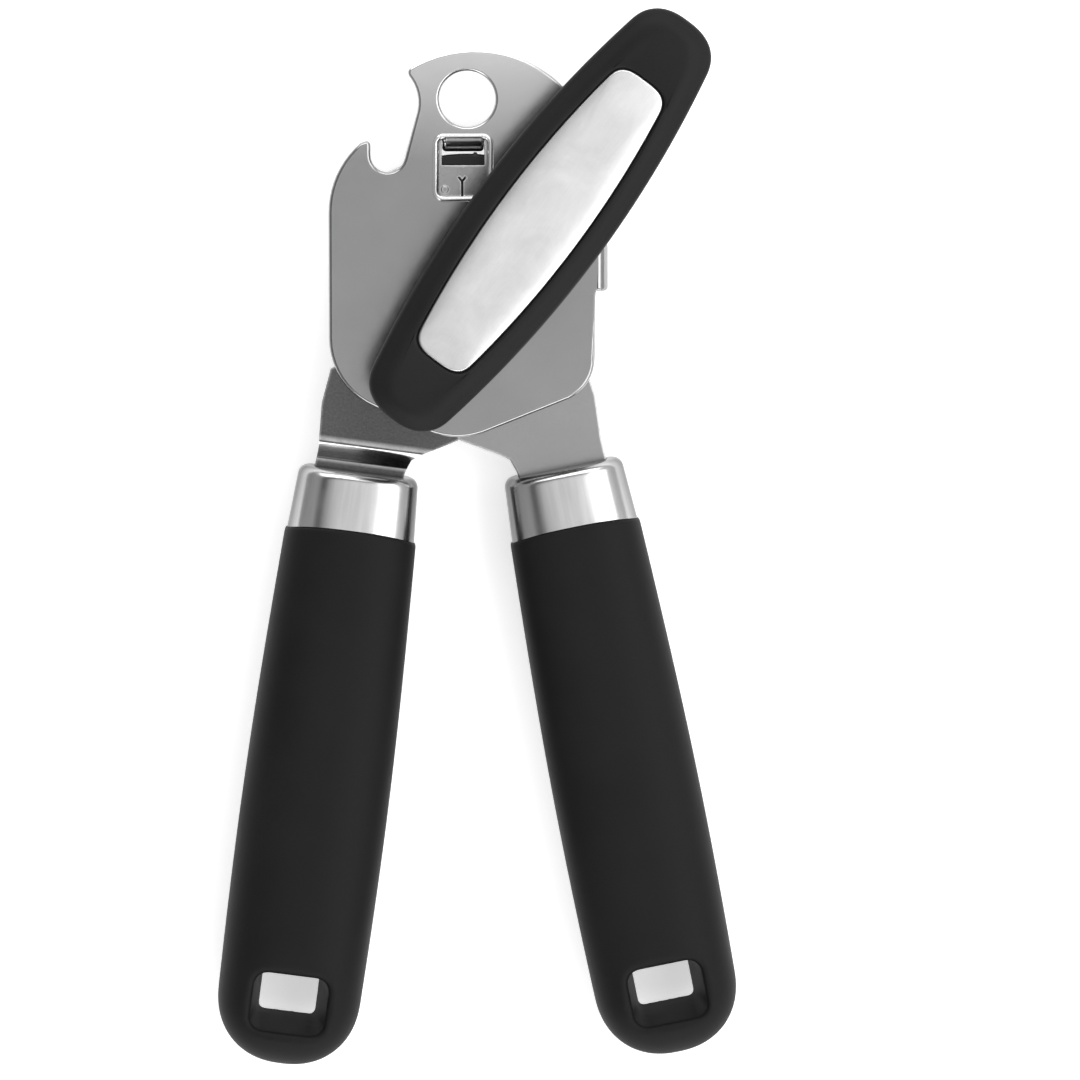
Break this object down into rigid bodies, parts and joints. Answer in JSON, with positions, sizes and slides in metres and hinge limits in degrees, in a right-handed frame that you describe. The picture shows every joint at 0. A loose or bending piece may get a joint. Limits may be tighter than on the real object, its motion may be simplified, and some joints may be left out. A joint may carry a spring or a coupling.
{
  "type": "manual can opener",
  "caption": "Two-handled manual can opener with soft grips, a long turning knob, a toothed feed wheel, a cutting disc and a cap lifter in its steel head.",
  "frame": {"origin": "centre of the hanging hole, at the back face of the front plate", "axes": "+X to the right seen from the front, +Y from the grips towards the head, +Z out of the front plate; the opener lies on its back"},
  "size_m": [0.1046, 0.2125, 0.0365],
  "materials": {
    "head_steel": "satin stamped stainless steel with rounded edges",
    "polished_steel": "mirror polished",
    "hardware_steel": "turned steel",
    "tool_steel": "hardened and ground",
    "brass": "turned",
    "satin_inlay": "fine brushed satin",
    "knob_plastic": "fine matte",
    "core_plastic": "moulded",
    "soft_grip": "soft matte"
  },
  "bodies": {
    "head_and_left_handle": {"front_plate": "head_steel", "drive_arm": "head_steel", "pivot_rivet": "hardware_steel", "pivot_washer": "brass", "pivot_back_washer": "hardware_steel", "drive_bush": "brass", "ferrule_left": "polished_steel", "grip_core_left": "core_plastic", "grip_left": "soft_grip", "tang_pins_left": "hardware_steel"},
    "right_handle": {"cutter_arm": "head_steel", "cutter_bush": "hardware_steel", "cutter_stud": "hardware_steel", "cutter_washer": "hardware_steel", "ferrule_right": "polished_steel", "grip_core_right": "core_plastic", "grip_right": "soft_grip", "tang_pins_right": "hardware_steel"},
    "knob": {"drive_shaft": "hardware_steel", "thrust_washer": "brass", "knob_body": "knob_plastic", "knob_core": "hardware_steel", "knob_inlay": "satin_inlay", "knob_pin": "hardware_steel", "feed_wheel": "tool_steel", "feed_washer": "hardware_steel", "feed_nut": "hardware_steel"},
    "disc": {"cutting_disc": "tool_steel"}
  },
  "joints": [
    {"name": "handle_pivot", "type": "hinge", "parent": "head_and_left_handle", "child": "right_handle", "pos_m": [0, -0.0476, 0], "axis": [0, 0, 1], "range_deg": [-17, 14]},
    {"name": "knob_spin", "type": "hinge", "parent": "head_and_left_handle", "child": "knob", "pos_m": [0.0137, -0.0233, 0], "axis": [0, 0, 1], "continuous": true},
    {"name": "disc_spin", "type": "hinge", "parent": "right_handle", "child": "disc", "pos_m": [-0.00806, -0.02499, -0.0104], "axis": [0, 0, 1], "continuous": true}
  ]
}
